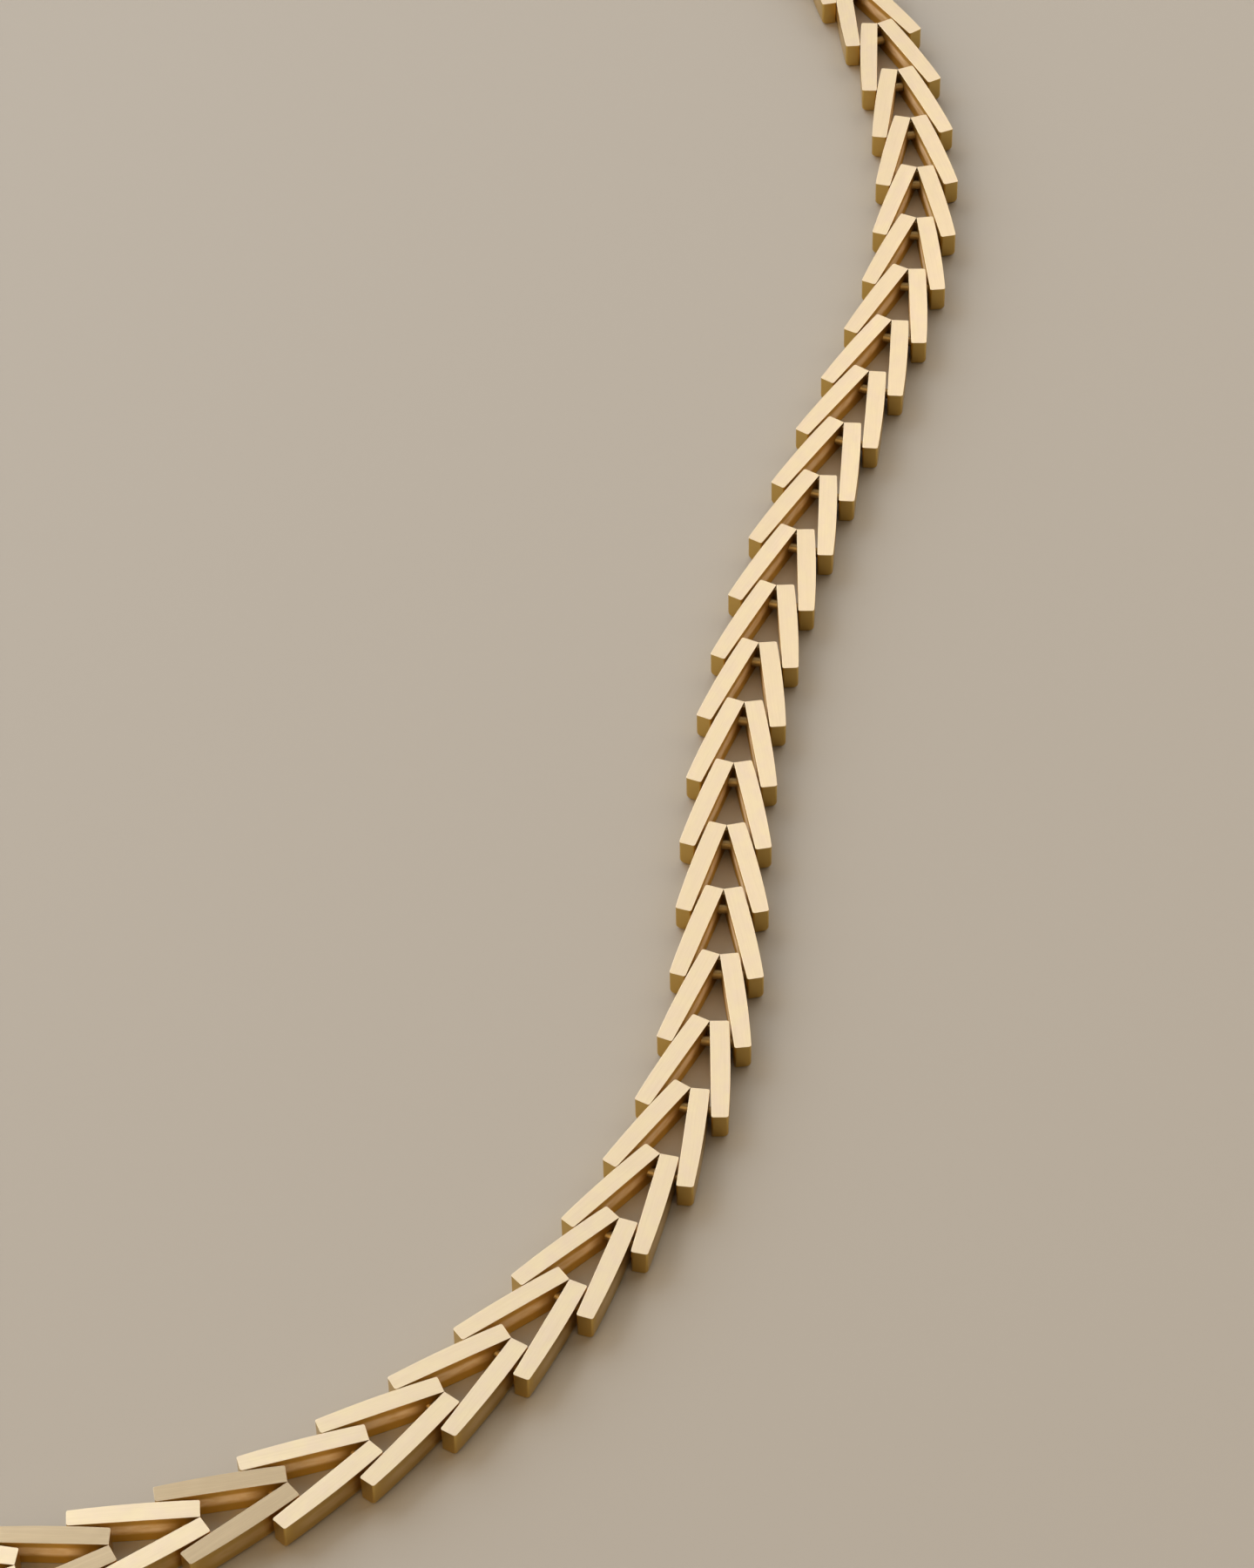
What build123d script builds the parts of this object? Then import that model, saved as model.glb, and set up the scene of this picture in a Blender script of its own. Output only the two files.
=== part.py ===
from build123d import *
import os
from math import asin, atan2, ceil, cos, degrees, radians, sin, tan

# Geneva link chain: a closed gold necklace of chevron links, hinged on cross pins.
# It lies flat. Lengths are in millimetres, +Z is up and the underside is at Z = 0.

# Driving dimensions of a link
LINK_PITCH = 5.59        # from one hinge to the next
LAP_LENGTH = 2.48        # how far an apex reaches in between the arms before it
BAR_WIDTH = 1.14         # width of a bar at the apex
TIP_WIDTH = 1.04         # width of a bar at its open end
BAR_HEIGHT = 2.0
BAR_BULGE = 0.06         # how far a bar's outer side bows out
SOLDER_DEPTH = 0.2       # depth of the solder that joins the two bars
UNDERSIDE_ROUND = 0.35   # rounding along the outer lower edge of a bar
TIP_ROUND = 0.16         # rounding round the open end of a bar, below its top face
PIN_DIAMETER = 0.66
PIN_SETBACK = 0.85       # from the apex back to its bore
CLEARANCE = 0.13         # least gap between neighbouring pieces

# Driving dimensions of the necklace
NECKLACE_LENGTH = 457.0  # round the whole loop, hinge to hinge
CLASP_SPAN = 12.0        # from hinge to hinge of the clasp
CLASP_ROUND = 0.4        # rounding of the clasp's edges

# Route of the stretch that shows, from its far end to its near end.
# The hinges lie on a smooth curve through these chosen points.
ROUTE_POINTS = [
    (20.5, 76.4), (22.2, 65.4), (20.8, 48.7), (15.4, 32.9), (10.2, 16.9), (7.8, 6.0), (6.4, -5.1),
    (5.5, -16.3), (3.1, -27.1), (-1.8, -37.2), (-12.8, -49.8), (-27.3, -58.1), (-43.6, -61.5),
]

TOLERANCE = 1e-6


def heading(vector):
    """Heading of a vector in degrees from +X."""
    return degrees(atan2(vector.Y, vector.X))


def loop_route(radius):
    """The closed route: the stretch that shows, a bend, a straight run and a bend."""
    shown = Spline(*ROUTE_POINTS)
    far_way, near_way = shown.tangent_at(0), shown.tangent_at(1)
    far_centre = shown.position_at(0) + far_way.rotate(Axis.Z, -90) * radius
    near_centre = shown.position_at(1) + near_way.rotate(Axis.Z, -90) * radius
    run_way = far_centre - near_centre
    clockwise = -Axis.Z.direction
    near_turn = near_way.get_signed_angle(run_way, clockwise) % 360
    far_turn = run_way.get_signed_angle(far_way, clockwise) % 360
    near_bend = CenterArc(near_centre, radius, heading(near_way) + 90, -near_turn)
    far_bend = CenterArc(far_centre, radius, heading(run_way) + 90, -far_turn)
    straight = Line(near_bend.position_at(1), far_bend.position_at(0))
    return [(edge, edge.length) for edge in (shown, near_bend, straight, far_bend)]


def route_length(route):
    """Length of the closed route."""
    return sum(length for _, length in route)


def route_point(route, distance):
    """The point that lies a distance along the closed route."""
    distance %= route_length(route)
    for edge, length in route:
        if distance <= length:
            return edge.position_at(distance, position_mode=PositionMode.LENGTH)
        distance -= length
    return route[0][0].position_at(0)


def walk_route(route, spans):
    """Distances along the route of hinges that stand the given spans apart."""
    distances = [0.0]
    for span in spans:
        here = route_point(route, distances[-1])
        distance = distances[-1]
        error = span
        while abs(error) > TOLERANCE:
            distance += error
            error = span - (route_point(route, distance) - here).length
        distances.append(distance)
    return distances


def closing_radius(spans, low, high):
    """The radius of the hidden bends at which the last hinge meets the first."""
    while high - low > TOLERANCE:
        middle = (low + high) / 2
        route = loop_route(middle)
        if walk_route(route, spans)[-1] > route_length(route):
            low = middle
        else:
            high = middle
    return high


def between(first, second):
    """The turn in degrees from one heading to the next."""
    return (second - first + 180) % 360 - 180


# Count of links, and the spans from hinge to hinge, with the clasp in the middle of the hidden stretch
link_count = round((NECKLACE_LENGTH - CLASP_SPAN) / LINK_PITCH)
shown_count = ceil(loop_route(LINK_PITCH)[0][1] / LINK_PITCH)
clasp_place = shown_count + (link_count - shown_count) // 2
spans = [LINK_PITCH] * clasp_place + [CLASP_SPAN] + [LINK_PITCH] * (link_count - clasp_place)

# Hinges and headings of the closed chain, and its sharpest bend from one piece to the next
bend_radius = closing_radius(spans, LINK_PITCH, NECKLACE_LENGTH / 4)
chain_route = loop_route(bend_radius)
hinges = [route_point(chain_route, distance) for distance in walk_route(chain_route, spans)]
headings = [heading(front - back) for front, back in zip(hinges, hinges[1:])]
sharpest_bend = radians(
    max(abs(between(first, second)) for first, second in zip(headings, headings[1:] + headings[:1]))
)

# Sizes of a link that leave room for its neighbours, which swing about the middle of the lap
side_gap = CLEARANCE + LAP_LENGTH / 2 * sin(sharpest_bend)
half_angle = asin((BAR_WIDTH + side_gap) / LINK_PITCH)
bar_length = LINK_PITCH * cos(half_angle) + LAP_LENGTH
apex_lead = LAP_LENGTH / 2 / cos(half_angle)
apex_half_width = BAR_WIDTH / cos(half_angle)
bore_lead = apex_lead - PIN_SETBACK
bore_half_length = apex_half_width + PIN_SETBACK * tan(half_angle)
bore_diameter = PIN_DIAMETER + 2 * (CLEARANCE + bore_half_length * tan(sharpest_bend))
pin_height = BAR_HEIGHT / 2
along = Vector(sin(half_angle), -cos(half_angle), 0)
across = Vector(cos(half_angle), sin(half_angle), 0)
link_width = 2 * (along * bar_length + across * TIP_WIDTH).X
tip_reach = bar_length * cos(half_angle) - apex_lead - LINK_PITCH


def mirrored(point):
    """The same point on the other side of a piece's middle line."""
    return Vector(-point.X, point.Y, 0)


def closed_face(right_side):
    """A face with the given points on its right side and the same points mirrored."""
    return make_face(Polyline(*right_side, *[mirrored(point) for point in reversed(right_side)], close=True))


def cross_rod(diameter, length, y):
    """A rod across a piece at mid height."""
    return Pos(0, y, pin_height) * Cylinder(diameter / 2, length, rotation=(0, 90, 0))


def arm_gap(y):
    """Half the clear width between two arms, at a distance ahead of the hinge that they hold."""
    return (LINK_PITCH + apex_lead - y) * tan(half_angle)


def bored(piece):
    """The piece with the bore of its leading hinge."""
    return piece - cross_rod(bore_diameter, link_width, bore_lead)


def pinned(piece, span):
    """The piece with its cross pin soldered in between its own two arms."""
    return piece + cross_rod(PIN_DIAMETER, 2 * arm_gap(bore_lead) + TIP_WIDTH, bore_lead - span)


def link_outline():
    """Outline of a link from above, with its leading hinge at the origin and its apex towards +Y."""
    apex = Vector(0, apex_lead, 0)
    shoulder = apex + across * BAR_WIDTH
    inner_tip = apex + along * bar_length
    outer_tip = inner_tip + across * TIP_WIDTH
    side_middle = (shoulder + outer_tip) * 0.5 + across * BAR_BULGE
    solder = apex + along * (SOLDER_DEPTH / cos(half_angle))
    return make_face([
        Line(apex, shoulder),
        ThreePointArc(shoulder, side_middle, outer_tip),
        Polyline(outer_tip, inner_tip, solder, mirrored(solder), mirrored(inner_tip), mirrored(outer_tip)),
        ThreePointArc(mirrored(outer_tip), mirrored(side_middle), mirrored(shoulder)),
        Line(mirrored(shoulder), apex),
    ])


def open_end_edges(link):
    """The edges round the two open ends of a link, apart from those along its top face."""
    ends = [
        face for face in link.faces().filter_by(GeomType.PLANE)
        if min((face.normal_at() - way).length for way in (along, mirrored(along))) < TOLERANCE
    ]
    return [edge for face in ends for edge in face.edges() if edge.center().Z < BAR_HEIGHT - TOLERANCE]


def chevron_link():
    """Two bars soldered into a V, flat on top, with the cross pin through their open ends."""
    link = extrude(link_outline(), BAR_HEIGHT)
    lower_sides = [
        edge for edge in link.edges().filter_by(GeomType.CIRCLE) if edge.center().Z < pin_height
    ]
    link = fillet(lower_sides, UNDERSIDE_ROUND)
    link = fillet(open_end_edges(link), TIP_ROUND)
    return pinned(bored(link), LINK_PITCH)


def box_clasp():
    """A plain closed box with a bored tongue in front and two pinned ears behind."""
    box_front = -(tip_reach + CLEARANCE + link_width / 2 * sin(sharpest_bend))
    box_back = -CLASP_SPAN - tip_reach
    box = Box(link_width, box_front - box_back, BAR_HEIGHT, align=(Align.CENTER, Align.MIN, Align.MIN))
    box = fillet(box.edges(), CLASP_ROUND)
    tongue_back = box_front - 2 * CLASP_ROUND    # behind the rounding of the box's front
    tongue = closed_face([
        Vector(apex_half_width, apex_lead, 0),
        Vector(apex_half_width + (apex_lead - tongue_back) * tan(half_angle), tongue_back, 0),
    ])
    slot_front = apex_lead + BAR_WIDTH * sin(half_angle) + CLEARANCE + apex_half_width * sin(sharpest_bend)
    slot_back = -2 * tip_reach    # past the back of the box
    slot = Pos(0, -CLASP_SPAN, 0) * closed_face([
        Vector(arm_gap(slot_front), slot_front, 0),
        Vector(arm_gap(slot_back), slot_back, 0),
    ])
    clasp = Pos(0, box_back, 0) * box + extrude(tongue, BAR_HEIGHT) - extrude(slot, BAR_HEIGHT)
    return pinned(bored(clasp), CLASP_SPAN)


def placed(piece, place):
    """A piece laid between two hinges of the chain."""
    return Pos(hinges[place].X, hinges[place].Y, 0) * Rot(0, 0, headings[place] - 90) * piece


link = chevron_link()
pieces = [placed(link, place) for place in range(clasp_place)]
pieces.append(placed(box_clasp(), clasp_place))
pieces += [placed(link, place) for place in range(clasp_place + 1, link_count + 1)]

# The origin lies under the middle of the necklace's box
middle = Compound(pieces).bounding_box().center()
pieces = [Pos(-middle.X, -middle.Y, 0) * piece for piece in pieces]
nodes = {
    "front_links": pieces[:shown_count],
    "back_links": pieces[shown_count:clasp_place] + pieces[clasp_place + 1:],
    "box_clasp": [pieces[clasp_place]],
}
os.makedirs("parts", exist_ok=True)
for name, solids in nodes.items():
    export_step(Compound([solid for piece in solids for solid in piece.solids()]), f"parts/{name}.step")

print(f"{link_count} links, {shown_count} of them in front, and hidden bends of radius {bend_radius:.2f}")
print(f"sharpest bend {degrees(sharpest_bend):.2f} degrees, link {link_width:.3f} wide")
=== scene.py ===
from math import cos, pi, radians, sin, tan

import bmesh
import bpy
import numpy as np
from mathutils import Matrix, Vector


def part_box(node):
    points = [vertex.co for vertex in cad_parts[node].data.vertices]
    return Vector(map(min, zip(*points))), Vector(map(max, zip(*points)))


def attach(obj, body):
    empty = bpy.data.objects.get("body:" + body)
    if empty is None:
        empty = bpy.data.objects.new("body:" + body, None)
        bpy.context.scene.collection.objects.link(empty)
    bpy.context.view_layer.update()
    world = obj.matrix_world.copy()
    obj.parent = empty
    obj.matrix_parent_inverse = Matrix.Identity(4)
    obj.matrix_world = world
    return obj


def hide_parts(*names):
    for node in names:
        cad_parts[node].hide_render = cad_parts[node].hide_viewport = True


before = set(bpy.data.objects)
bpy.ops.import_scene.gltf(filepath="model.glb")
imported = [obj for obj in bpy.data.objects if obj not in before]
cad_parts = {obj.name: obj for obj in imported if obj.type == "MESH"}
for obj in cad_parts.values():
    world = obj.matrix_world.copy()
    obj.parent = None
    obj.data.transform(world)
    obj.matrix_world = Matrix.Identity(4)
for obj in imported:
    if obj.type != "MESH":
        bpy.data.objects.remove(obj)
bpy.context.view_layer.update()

# Geneva link chain: gold chevron links, each of two flat bars and a cross pin, and a plain box clasp.
# The links' places and height come from the frame. The scene is in metres, and sizes whose comments
# name no unit are in millimetres.
MM = 0.001

# A link. Its bars are wider than the frame's, and so take up part of the room between the links.
LINK_PITCH = 5.59
HALF_ANGLE = radians(14.744)       # between a bar and the link's middle line
BAR_LENGTH = 7.886
BAR_WIDTHS = (1.21, 1.25, 1.07)    # at the apex, in the middle and at the open end
FRAME_WIDTH = 1.14                 # width of the frame's bar at the apex
UNDERSIDE_ROUND = 0.35             # rounding along a bar's outer lower edge
TIP_ROUND = 0.14                   # rounding round its open end, below the top face
SHOULDER_ROUND = 0.12              # rounding of its outer corner at the apex
EDGE_BREAK = 0.02                  # worn sharp edges
SOLDER_DEPTH = 0.3                 # how far solder fills the notch behind the apex
SOLDER_DROP = 0.2                  # how far it stays from the top and the underside
SOLDER_BITE = 0.02                 # how far it reaches into the bars
PIN_DIAMETER = 0.66
PIN_SETBACK = 0.85                 # from the apex back to the bore
BORE_DIAMETER = 0.72
BORE_REACH = 4.84                  # length of the rod that cuts the bore, past both sides of a bar

# Fineness of the mesh
SIDE_STEPS = 12                    # straight steps along a bar's bowed side
UNDERSIDE_STEPS = 6
CORNER_STEPS = 4
EDGE_STEPS = 2
ROD_SIDES = 32
BREAK_ANGLE = radians(60)          # an edge that turns by more is broken
SHARP_ANGLE = radians(40)          # an edge that turns by more is shaded sharp
FACING = 0.9                       # least cosine at which a face looks a given way
UPRIGHT = 0.5                      # a face stands upright where its normal rises by less
ROUND_PROFILE = 0.5
WELD = 1e-7                        # metres between corners that are one

# Camera
CAMERA_AIM = (34.955, -24.771, 2.0)
CAMERA_ELEVATION = radians(47.5)
CAMERA_ROLL = radians(-1.25)
CAMERA_DISTANCE = 355.3
CAMERA_LENS = 123.5
CAMERA_SENSOR = 36.0
CAMERA_CLIP = (0.01, 20.0)         # metres

# Colours of the gold
CREAM = (0.752, 0.604, 0.387)      # top faces
ROSY_CREAM = (0.730, 0.572, 0.405)
DARK_CREAM = (0.685, 0.540, 0.348)
DULL_CREAM = (0.45, 0.335, 0.205)  # of the few dull links
HAIRLINE = (0.62, 0.475, 0.29)     # brushed hairlines on the top faces
# Sides: the gold darkened and deepened against the tops as painted shade
SHADED_SIDE_GOLD = (0.66, 0.455, 0.14)
SHADED_INNER_GOLD = (0.82, 0.55, 0.13)    # inner sides, which face each other
NOTCH_SHADE_GOLD = (0.34, 0.20, 0.05)   # painted shade on the inner sides near the apex
REFLECTION_COPPER = (1.0, 0.80, 0.58)         # painted reflection: pale copper bands on the sides
WIRE_GOLD = (0.46, 0.34, 0.16)     # pins and solder
DARK_WIRE = (0.36, 0.26, 0.12)

# Roughness of the gold, and what is left of its metal gloss in the bands of painted reflection
TOP_ROUGHNESS = (0.30, 0.33)
TONE_ROUGHNESS = (-0.01, 0.01)     # from the brightest bar to the darkest
SIDE_ROUGHNESS = 0.285
INNER_ROUGHNESS = 0.55
WIRE_ROUGHNESS = (0.42, 0.52)
REFLECTION_METALLIC = 0.1

# Noise of the gold: cells a millimetre along and across a bar, and its detail
MOTTLE_SCALE = (0.8, 1.1, 1.0)
STREAK_SCALE = (0.2, 9.0, 1.0)
SCRATCH_SCALE = (0.7, 24.0, 1.0)
REFLECTION_BAND_SCALE = (0.8, 2.5, 1.0)
WIRE_SCALE = (2.5, 2.5, 2.5)
NOISE_DETAIL = 2.0
FINE_DETAIL = 1.0                  # of streaks and scratches
REFLECTION_BAND_DETAIL = 3.0

# Values of noise over which a pattern grows from its least share to its full one
MOTTLE_RANGE = (0.35, 0.65)
STREAK_RANGE = (0.45, 0.70)
SCRATCH_RANGE = (0.50, 0.75)
REFLECTION_BAND_RANGE = (0.30, 0.55)

# Top faces: full shares of their patterns
TOP_TURN = (0.40, 0.90)            # upward part of the normal, from a side to the top
DARK_SHARE = 0.5                   # in the darkest bars
STREAK_SHARE = 0.18
SCRATCH_SHARE = 0.14

# Relief of the gold: heights in shares of the bump's depth, which is in metres
STREAK_RELIEF = 0.08
SCRATCH_RELIEF = 0.03
MOTTLE_RELIEF = 3.0
BUMP_DEPTH = 2e-6
BUMP_STRENGTH = 0.5

# Sides: where the bands of painted reflection set in and fade out, over shares of a bar's length and over
# heights
REFLECTION_BAND_START = (0.15, 0.32)
REFLECTION_BAND_END = (0.75, 0.95)
REFLECTION_BAND_FOOT = (0.6, 0.95)
REFLECTION_BAND_HEAD = (1.4, 1.65)
REFLECTION_BAND_HEAD_SHARE = 0.1               # what is left of the painted reflection at the upper edge
REFLECTION_BAND_FAINTEST = 0.5                 # least share of its pattern
REFLECTION_BAND_OUTER_SHARE = 0.25             # strength on the outer sides, against the inner ones
NOTCH_SHADE_REACH = (0.05, 0.35)        # where the painted shade near the apex fades, in shares of a bar's length
NOTCH_SHADE_DARKNESS = 0.8

CLASP_TURN = radians(105)          # lays the clasp's brushing along it

# Random draws
SEED = 25901
TONES = (-1, 1)                    # from the brightest bar to the darkest
DULL_LINKS = (0.85, 0.95)          # the share of links that aren't dull, and that aren't fully dull
SHIFT_RANGE = 500                  # each bar's patterns start somewhere else

# Floor, in metres
FLOOR_COLOR = (0.421, 0.390, 0.354)
FLOOR_ROUGHNESS = 0.6
FLOOR_SIZE = 3.0                   # half its side
FLOOR_DROP = 0.00002               # keeps it clear of the undersides

# Light: for each softbox its name, the way to it, distance and side in metres, watts and colour
SOFTBOXES = (
    ("window", (-0.12, 0.68, 0.73), 1.0, 1.2, 3.6, (0.93, 0.97, 1.0)),
    ("overhead", (0, 0.02, 1), 1.3, 0.7, 1.0, (1, 0.86, 0.64)),
    ("left_window", (-0.62, 0.60, 0.50), 1.2, 1.2, 13.5, (0.90, 0.955, 1.0)),
    ("right_window", (0.62, 0.60, 0.50), 1.2, 1.2, 8.3, (1, 0.89, 0.74)),
    ("front", (-0.62, -0.60, 0.50), 1.2, 1.2, 8.8, (1, 0.74, 0.42)),
    ("front_high", (0.42, -0.60, 0.68), 1.2, 0.8, 1.8, (1, 0.78, 0.52)),
)
WORLD_COLOR = (1, 0.90, 0.75)
WORLD_STRENGTH = 0.02

# Sides of a link that its shells lie on, and slots of its two materials
RIGHT, LEFT, MIDDLE = 1, -1, 0
GOLD_SLOT, WIRE_SLOT = 0, 1

scene = bpy.context.scene
scene.view_settings.view_transform = "Standard"
random = np.random.default_rng(SEED)

# The ways along and across the right bar
along = Vector((sin(HALF_ANGLE), -cos(HALF_ANGLE), 0))
across = Vector((cos(HALF_ANGLE), sin(HALF_ANGLE), 0))


def add_object(name, data):
    """A new object of the scene that shows the given data."""
    thing = bpy.data.objects.new(name, data)
    scene.collection.objects.link(thing)
    return thing


# Camera

def add_camera():
    """The photograph's camera, which looks down on the right half of the loop and is rolled a little."""
    forward = Vector((0, cos(CAMERA_ELEVATION), -sin(CAMERA_ELEVATION)))
    level_right = Vector((1, 0, 0))
    level_up = level_right.cross(forward)
    right = level_right * cos(CAMERA_ROLL) + level_up * sin(CAMERA_ROLL)
    up = level_up * cos(CAMERA_ROLL) - level_right * sin(CAMERA_ROLL)
    data = bpy.data.cameras.new("camera")
    data.lens = CAMERA_LENS
    data.sensor_width = CAMERA_SENSOR
    data.clip_start, data.clip_end = CAMERA_CLIP
    camera = add_object("camera", data)
    turn = Matrix((right, up, -forward)).transposed().to_4x4()
    place = Matrix.Translation((Vector(CAMERA_AIM) - forward * CAMERA_DISTANCE) * MM)
    camera.matrix_world = place @ turn
    bpy.context.scene.camera = camera


# Places of the links, read from the frame

def loose_solids(node):
    """The triangles of each loose solid of a node, as an array of corners in millimetres."""
    mesh = bmesh.new()
    mesh.from_mesh(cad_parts[node].data)
    bmesh.ops.remove_doubles(mesh, verts=mesh.verts, dist=WELD)
    bmesh.ops.triangulate(mesh, faces=mesh.faces)
    solids = []
    seen = set()
    for start in mesh.faces:
        if start in seen:
            continue
        seen.add(start)
        waiting = [start]
        corners = []
        while waiting:
            face = waiting.pop()
            corners.append([vert.co[:] for vert in face.verts])
            for edge in face.edges:
                for other in edge.link_faces:
                    if other not in seen:
                        seen.add(other)
                        waiting.append(other)
        solids.append(np.array(corners) / MM)
    mesh.free()
    return solids


def place_of(corners):
    """Where a link's apex is, and the way that it points, from the surface moments of its triangles."""
    flat = corners[:, :, :2]
    sides = corners[:, 1:] - corners[:, :1]
    areas = np.linalg.norm(np.cross(sides[:, 0], sides[:, 1]), axis=1) / 2
    centre = (flat.mean(axis=1) * areas[:, None]).sum(axis=0) / areas.sum()
    flat = flat - centre
    sums = flat.sum(axis=1)
    moments = np.einsum("t,tci,tcj->ij", areas, flat, flat) + np.einsum("t,ti,tj->ij", areas, sums, sums)
    way = np.linalg.eigh(moments)[1][:, 1]
    points = flat.reshape(-1, 2)
    sideways = np.abs(points @ np.array((way[1], -way[0])))
    if (points @ way)[sideways.argmax()] > 0:    # a link is widest at its open end
        way = -way
    lead = (points @ way).max() - FRAME_WIDTH * sin(HALF_ANGLE)
    return centre + way * lead, way


# Mesh of one link, with its apex at the origin and pointing to +Y

def bar_outline():
    """Outline of the right bar from above, clockwise from its inner corner at the apex."""
    first, middle, last = BAR_WIDTHS
    bow = middle - (first + last) / 2
    outline = [Vector((0, 0, 0))]
    for step in range(SIDE_STEPS + 1):
        share = step / SIDE_STEPS
        width = first + (last - first) * share + 4 * bow * share * (1 - share)
        outline.append(along * (BAR_LENGTH * share) + across * width)
    outline.append(along * BAR_LENGTH)
    return outline


def prism(outline, low, high):
    """A closed mesh over an outline given clockwise."""
    mesh = bmesh.new()
    lower = [mesh.verts.new((point.x, point.y, low)) for point in outline]
    upper = [mesh.verts.new((point.x, point.y, high)) for point in outline]
    mesh.faces.new(lower)
    mesh.faces.new(list(reversed(upper)))
    for index in range(len(outline)):
        after = (index + 1) % len(outline)
        mesh.faces.new((lower[after], lower[index], upper[index], upper[after]))
    mesh.normal_update()
    return mesh


def soften(mesh, edges, size, steps):
    """Rounds some edges of a mesh."""
    bmesh.ops.bevel(
        mesh, geom=edges, offset=size, segments=steps, profile=ROUND_PROFILE, affect="EDGES"
    )
    mesh.normal_update()


def edges_below(face, height):
    """The edges of a face that don't lie along the top."""
    return [edge for edge in face.edges if any(vert.co.z < height / 2 for vert in edge.verts)]


def bar_mesh(height):
    """The right bar: rounded below its outer side, beside the apex and round its open end."""
    mesh = prism(bar_outline(), 0, height)
    lower_side = [
        edge for edge in mesh.edges
        if all(vert.co.z == 0 for vert in edge.verts)
        and any(face.normal.dot(across) > FACING for face in edge.link_faces)
    ]
    soften(mesh, lower_side, UNDERSIDE_ROUND, UNDERSIDE_STEPS)
    open_end = max(mesh.faces, key=lambda face: face.normal.dot(along))
    soften(mesh, edges_below(open_end, height), TIP_ROUND, CORNER_STEPS)
    apex_end = min(mesh.faces, key=lambda face: face.normal.dot(along))
    flat_width = BAR_WIDTHS[0] - UNDERSIDE_ROUND
    shoulder = [
        edge for edge in edges_below(apex_end, height)
        if all(vert.co.dot(across) > flat_width - EDGE_BREAK for vert in edge.verts)
    ]
    soften(mesh, shoulder, SHOULDER_ROUND, CORNER_STEPS)
    sharp = [edge for edge in mesh.edges if edge.is_manifold and edge.calc_face_angle() > BREAK_ANGLE]
    soften(mesh, sharp, EDGE_BREAK, EDGE_STEPS)
    return mesh


def rod_mesh(diameter, length, y, height):
    """A rod across the link."""
    mesh = bmesh.new()
    bmesh.ops.create_cone(
        mesh, cap_ends=True, segments=ROD_SIDES, radius1=diameter / 2, radius2=diameter / 2, depth=length
    )
    place = Matrix.Translation((0, y, height)) @ Matrix.Rotation(pi / 2, 4, "Y")
    bmesh.ops.transform(mesh, matrix=place, verts=mesh.verts)
    mesh.normal_update()
    return mesh


def solder_mesh(height):
    """The solder in the notch behind the apex."""
    half = SOLDER_DEPTH * tan(HALF_ANGLE) + SOLDER_BITE
    outline = [
        Vector((-SOLDER_BITE, -EDGE_BREAK, 0)), Vector((SOLDER_BITE, -EDGE_BREAK, 0)),
        Vector((half, -SOLDER_DEPTH, 0)), Vector((-half, -SOLDER_DEPTH, 0)),
    ]
    return prism(outline, SOLDER_DROP, height - SOLDER_DROP)


def to_data(name, mesh):
    """Blender mesh data from a bmesh, which is freed."""
    data = bpy.data.meshes.new(name)
    mesh.to_mesh(data)
    mesh.free()
    return data


def without(data, tool):
    """Mesh data with the tool's shape cut out of it."""
    body = add_object("body", data)
    cutter = add_object("cutter", tool)
    cut = body.modifiers.new("cut", "BOOLEAN")
    cut.operation = "DIFFERENCE"
    cut.solver = "EXACT"
    cut.object = cutter
    result = bpy.data.meshes.new_from_object(body.evaluated_get(bpy.context.evaluated_depsgraph_get()))
    bpy.data.objects.remove(body)
    bpy.data.objects.remove(cutter)
    return result


def shell(data):
    """Corners and faces of mesh data. The faces come in the same order each run."""
    points = np.array([vert.co[:] for vert in data.vertices])
    faces = []
    for face in data.polygons:
        corners = list(face.vertices)
        first = corners.index(min(corners))
        faces.append(corners[first:] + corners[:first])
    return points, sorted(faces)


def flipped(points, faces):
    """A shell mirrored to the other side of the link."""
    return points * np.array((-1, 1, 1)), [list(reversed(face)) for face in faces]


def link_shells(height):
    """The closed shells of a link, each with its side: two bars, the cross pin and the solder."""
    bore = to_data("bore", rod_mesh(BORE_DIAMETER, BORE_REACH, -PIN_SETBACK, height / 2))
    bar = shell(without(to_data("bar", bar_mesh(height)), bore))
    pin_y = -PIN_SETBACK - LINK_PITCH
    pin_length = -2 * pin_y * tan(HALF_ANGLE) + BAR_WIDTHS[2]    # ends inside the two arms
    pin = shell(to_data("pin", rod_mesh(PIN_DIAMETER, pin_length, pin_y, height / 2)))
    solder = shell(to_data("solder", solder_mesh(height)))
    return [(*bar, RIGHT), (*flipped(*bar), LEFT), (*pin, MIDDLE), (*solder, MIDDLE)]


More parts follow.
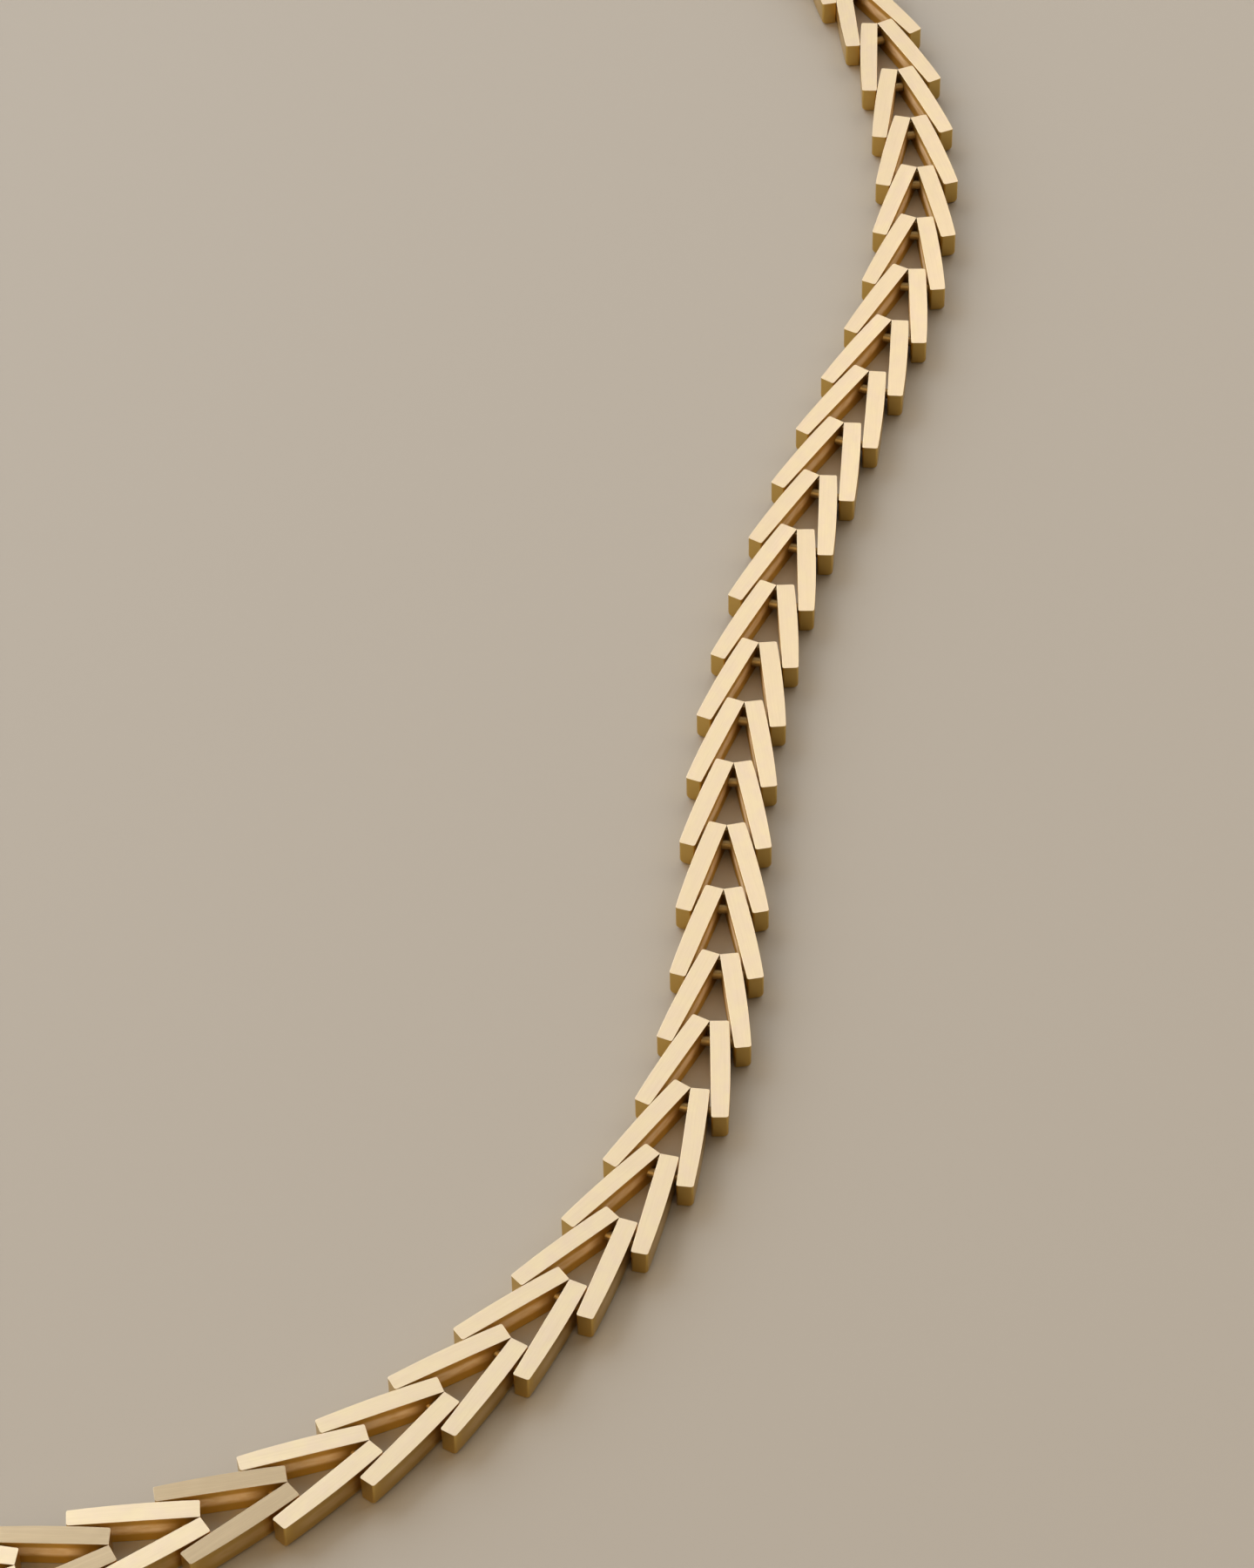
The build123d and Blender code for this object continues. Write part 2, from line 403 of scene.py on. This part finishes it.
def chain_mesh(name, places, shells):
    """One mesh with a copy of the link's shells at each place.

    The "brushing" map holds millimetres along and across each bar. Of the corners' own values, "tone"
    runs over TONES, "dull" is 0 in most links and up to 1 in the dull ones, "reach" runs from 0 at the
    apex to 1 at the open end, and "nook" is 1 on inner sides.
    """
    points = []
    faces = []
    brushing = []
    tones = []
    reaches = []
    nooks = []
    dulls = []
    slots = []
    for apex, way in places:
        turn = np.array(((way[1], way[0], 0), (-way[0], way[1], 0), (0, 0, 1)))
        dullness = np.interp(random.uniform(0, 1), DULL_LINKS, (0, 1))
        for shell_points, shell_faces, side in shells:
            start = sum(len(group) for group in points)
            points.append((shell_points @ turn.T + np.array((apex[0], apex[1], 0))) * MM)
            faces += [[start + corner for corner in face] for face in shell_faces]
            tone = random.uniform(*TONES)
            shift = random.uniform(0, SHIFT_RANGE, 2)
            lengthwise_way = np.array((side * sin(HALF_ANGLE), -cos(HALF_ANGLE), 0))
            crosswise_way = np.array((side * cos(HALF_ANGLE), sin(HALF_ANGLE), 0))
            for face in shell_faces:
                ring = shell_points[face]
                normal = np.cross(ring, np.roll(ring, -1, axis=0)).sum(axis=0)
                size = np.linalg.norm(normal)
                lengthwise = ring @ lengthwise_way
                upright = abs(normal[2]) < UPRIGHT * size
                crosswise = ring[:, 2] if upright else ring @ crosswise_way
                brushing += [(a + shift[0], b + shift[1]) for a, b in zip(lengthwise, crosswise)]
                tones += [tone] * len(face)
                reaches += list(lengthwise / BAR_LENGTH)
                nooks += [float(-normal @ crosswise_way > FACING * size)] * len(face)
                dulls += [dullness] * len(face)
                slots.append(WIRE_SLOT if side == MIDDLE else GOLD_SLOT)
    data = bpy.data.meshes.new(name)
    data.from_pydata(np.concatenate(points).tolist(), [], faces)
    layer = data.uv_layers.new(name="brushing")
    layer.data.foreach_set("uv", np.array(brushing).ravel())
    for label, values in (("tone", tones), ("reach", reaches), ("nook", nooks), ("dull", dulls)):
        attribute = data.attributes.new(label, "FLOAT", "CORNER")
        attribute.data.foreach_set("value", np.array(values))
    data.polygons.foreach_set("material_index", slots)
    return data


# Nodes of a material

def new_node(tree, kind, inputs=(), **settings):
    """A shader node with its settings and inputs. An input that is a socket is linked."""
    made = tree.nodes.new(kind)
    for name, value in settings.items():
        setattr(made, name, value)
    for name, value in dict(inputs).items():
        fill(tree, made.inputs[name], value)
    return made


def fill(tree, socket, value):
    """Links an input to a socket, or sets it to a plain value."""
    if isinstance(value, bpy.types.NodeSocket):
        tree.links.new(value, socket)
    else:
        socket.default_value = value


def own_value(tree, name):
    """A value that the mesh holds at its corners."""
    return new_node(tree, "ShaderNodeAttribute", attribute_name=name).outputs["Fac"]


def upward_part(tree, vector):
    """The Z of a vector."""
    return new_node(tree, "ShaderNodeSeparateXYZ", {"Vector": vector}).outputs["Z"]


def noise(tree, place, scale, detail=NOISE_DETAIL):
    """Noise from 0 to 1 with its own scale along each axis of the place."""
    stretched = new_node(tree, "ShaderNodeMapping", {"Vector": place, "Scale": scale})
    made = new_node(
        tree, "ShaderNodeTexNoise", {"Vector": stretched.outputs["Vector"], "Scale": 1.0, "Detail": detail}
    )
    return made.outputs["Fac"]


def spread(tree, value, source, target=(0.0, 1.0)):
    """A value that runs over the target while the given one runs over the source."""
    made = new_node(tree, "ShaderNodeMapRange", {
        "Value": value, "From Min": source[0], "From Max": source[1],
        "To Min": target[0], "To Max": target[1],
    })
    return made.outputs["Result"]


def joined(tree, operation, first, *others):
    """Values joined by an operation."""
    for other in others:
        made = new_node(tree, "ShaderNodeMath", operation=operation)
        fill(tree, made.inputs[0], first)
        fill(tree, made.inputs[1], other)
        first = made.outputs[0]
    return first


def mixed(tree, share, first, second, data_type="RGBA"):
    """A colour between two others, or with the data type FLOAT a value between two others."""
    made = new_node(tree, "ShaderNodeMix", {"Factor": share}, data_type=data_type)
    socket_type = "VALUE" if data_type == "FLOAT" else data_type
    for name, value in (("A", first), ("B", second)):
        socket = next(item for item in made.inputs if item.name == name and item.type == socket_type)
        fill(tree, socket, (*value, 1) if isinstance(value, tuple) else value)
    return next(item for item in made.outputs if item.type == socket_type)


# Materials

def new_material(name):
    """A material, its node tree and its shader."""
    material = bpy.data.materials.new(name)
    material.use_nodes = True
    return material, material.node_tree, material.node_tree.nodes["Principled BSDF"]


def gold_material(name, find_place):
    """Pale yellow gold: satin top faces, brushed along each bar, and sides of a deeper, darker gold as
    painted shade, with painted shade near the apex and bands of painted reflection in pale copper.
    """
    material, tree, shader = new_material(name)
    place = find_place(tree)
    coordinates = new_node(tree, "ShaderNodeTexCoord").outputs
    top = spread(tree, upward_part(tree, coordinates["Normal"]), TOP_TURN)
    rise = upward_part(tree, coordinates["Object"])
    tone = own_value(tree, "tone")
    reach = own_value(tree, "reach")
    nook = own_value(tree, "nook")
    mottle = spread(tree, noise(tree, place, MOTTLE_SCALE), MOTTLE_RANGE)
    streaks = noise(tree, place, STREAK_SCALE, FINE_DETAIL)
    scratches = noise(tree, place, SCRATCH_SCALE, FINE_DETAIL)

    darkness = spread(tree, tone, TONES, (0.0, DARK_SHARE))
    hairs = joined(
        tree, "ADD",
        spread(tree, streaks, STREAK_RANGE, (0.0, STREAK_SHARE)),
        spread(tree, scratches, SCRATCH_RANGE, (0.0, SCRATCH_SHARE)),
    )
    cream = mixed(tree, mottle, CREAM, ROSY_CREAM)
    cream = mixed(tree, darkness, cream, DARK_CREAM)
    cream = mixed(tree, own_value(tree, "dull"), cream, DULL_CREAM)
    cream = mixed(tree, hairs, cream, HAIRLINE)

    # Bands of painted reflection on the sides: pale copper, less metallic, fading along and up each bar
    painted_reflection = joined(
        tree, "MULTIPLY",
        spread(tree, reach, REFLECTION_BAND_START),
        spread(tree, reach, REFLECTION_BAND_END, (1.0, 0.0)),
        spread(tree, rise, [height * MM for height in REFLECTION_BAND_FOOT]),
        spread(tree, rise, [height * MM for height in REFLECTION_BAND_HEAD], (1.0, REFLECTION_BAND_HEAD_SHARE)),
        spread(tree, noise(tree, place, REFLECTION_BAND_SCALE, REFLECTION_BAND_DETAIL), REFLECTION_BAND_RANGE, (REFLECTION_BAND_FAINTEST, 1.0)),
        spread(tree, nook, (0.0, 1.0), (REFLECTION_BAND_OUTER_SHARE, 1.0)),
    )
    # Painted shade on the inner sides near the apex
    corner = joined(tree, "MULTIPLY", nook, spread(tree, reach, NOTCH_SHADE_REACH, (NOTCH_SHADE_DARKNESS, 0.0)))
    # Sides take a darker, deeper gold than the tops as painted shade
    painted_sides = mixed(tree, nook, SHADED_SIDE_GOLD, SHADED_INNER_GOLD)
    painted_sides = mixed(tree, corner, painted_sides, NOTCH_SHADE_GOLD)
    painted_sides = mixed(tree, painted_reflection, painted_sides, REFLECTION_COPPER)
    fill(tree, shader.inputs["Base Color"], mixed(tree, top, painted_sides, cream))

    # The bands of painted reflection lose most of their metal gloss
    sideways = joined(tree, "SUBTRACT", 1.0, top)
    reflection_matt = joined(tree, "MULTIPLY", painted_reflection, sideways)
    fill(tree, shader.inputs["Metallic"], spread(tree, reflection_matt, (0.0, 1.0), (1.0, REFLECTION_METALLIC)))

    top_roughness = joined(
        tree, "ADD",
        spread(tree, streaks, (0.0, 1.0), TOP_ROUGHNESS),
        spread(tree, tone, TONES, TONE_ROUGHNESS),
    )
    side_roughness = spread(tree, nook, (0.0, 1.0), (SIDE_ROUGHNESS, INNER_ROUGHNESS))
    fill(tree, shader.inputs["Roughness"], mixed(tree, top, side_roughness, top_roughness, "FLOAT"))

    relief = joined(
        tree, "ADD",
        spread(tree, streaks, (0.0, 1.0), (0.0, STREAK_RELIEF)),
        spread(tree, scratches, (0.0, 1.0), (0.0, SCRATCH_RELIEF)),
        spread(tree, mottle, (0.0, 1.0), (0.0, MOTTLE_RELIEF)),
    )
    bump = new_node(
        tree, "ShaderNodeBump", {"Height": relief, "Strength": BUMP_STRENGTH, "Distance": BUMP_DEPTH}
    )
    fill(tree, shader.inputs["Normal"], bump.outputs["Normal"])
    return material


def wire_material():
    """Drawn gold wire of the pins, and solder."""
    material, tree, shader = new_material("gold_wire")
    shader.inputs["Metallic"].default_value = 1.0
    place = new_node(tree, "ShaderNodeTexCoord").outputs["Object"]
    grain = noise(tree, place, [cells / MM for cells in WIRE_SCALE])
    fill(tree, shader.inputs["Base Color"], mixed(tree, grain, WIRE_GOLD, DARK_WIRE))
    fill(tree, shader.inputs["Roughness"], spread(tree, grain, (0.0, 1.0), WIRE_ROUGHNESS))
    return material


def along_bars(tree):
    """Millimetres along and across the bar that a point belongs to."""
    return new_node(tree, "ShaderNodeUVMap", uv_map="brushing").outputs["UV"]


def along_clasp(tree):
    """Millimetres along and across the clasp."""
    place = new_node(tree, "ShaderNodeTexCoord").outputs["Object"]
    turned = new_node(
        tree, "ShaderNodeMapping",
        {"Vector": place, "Scale": (1 / MM, 1 / MM, 1 / MM), "Rotation": (0, 0, CLASP_TURN)},
    )
    return turned.outputs["Vector"]


def floor_material():
    """Plain pale floor."""
    material, _, shader = new_material("floor")
    shader.inputs["Base Color"].default_value = (*FLOOR_COLOR, 1)
    shader.inputs["Roughness"].default_value = FLOOR_ROUGHNESS
    return material


# Objects of the scene

def add_piece(name, data, node, materials):
    """A piece that stands for a node of the frame."""
    piece = add_object(name, data)
    for material in materials:
        data.materials.append(material)
    data.shade_smooth()
    data.set_sharp_from_angle(angle=SHARP_ANGLE)
    weighted = piece.modifiers.new("flat_faces", "WEIGHTED_NORMAL")
    weighted.keep_sharp = True
    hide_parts(node)
    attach(piece, "root")


def add_floor():
    """A plain pale floor, which the necklace lies on."""
    mesh = bmesh.new()
    bmesh.ops.create_grid(mesh, x_segments=1, y_segments=1, size=FLOOR_SIZE)
    floor = add_object("floor", to_data("floor", mesh))
    floor.data.materials.append(floor_material())
    floor.location.z = -FLOOR_DROP


def add_softbox(name, way, distance, size, power, color):
    """A square soft light that faces the necklace from the given way."""
    data = bpy.data.lights.new(name, "AREA")
    data.shape = "SQUARE"
    data.size = size
    data.energy = power
    data.color = color
    light = add_object(name, data)
    way = Vector(way).normalized()
    light.location = way * distance
    light.rotation_euler = way.to_track_quat("Z", "Y").to_euler()


def add_world():
    """Faint warm light from all round."""
    world = bpy.data.worlds.new("studio")
    scene.world = world
    world.use_nodes = True
    background = world.node_tree.nodes["Background"]
    background.inputs["Color"].default_value = (*WORLD_COLOR, 1)
    background.inputs["Strength"].default_value = WORLD_STRENGTH


add_camera()
shells = link_shells(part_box("front_links")[1].z / MM)
gold = gold_material("gold_links", along_bars)
wire = wire_material()
for node in ("front_links", "back_links"):
    name = node + "_gold"
    places = [place_of(corners) for corners in loose_solids(node)]
    add_piece(name, chain_mesh(name, places, shells), node, (gold, wire))
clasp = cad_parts["box_clasp"]
clasp.material_slots[0].material = gold_material("gold_clasp", along_clasp)
add_floor()
add_world()
for softbox in SOFTBOXES:
    add_softbox(*softbox)
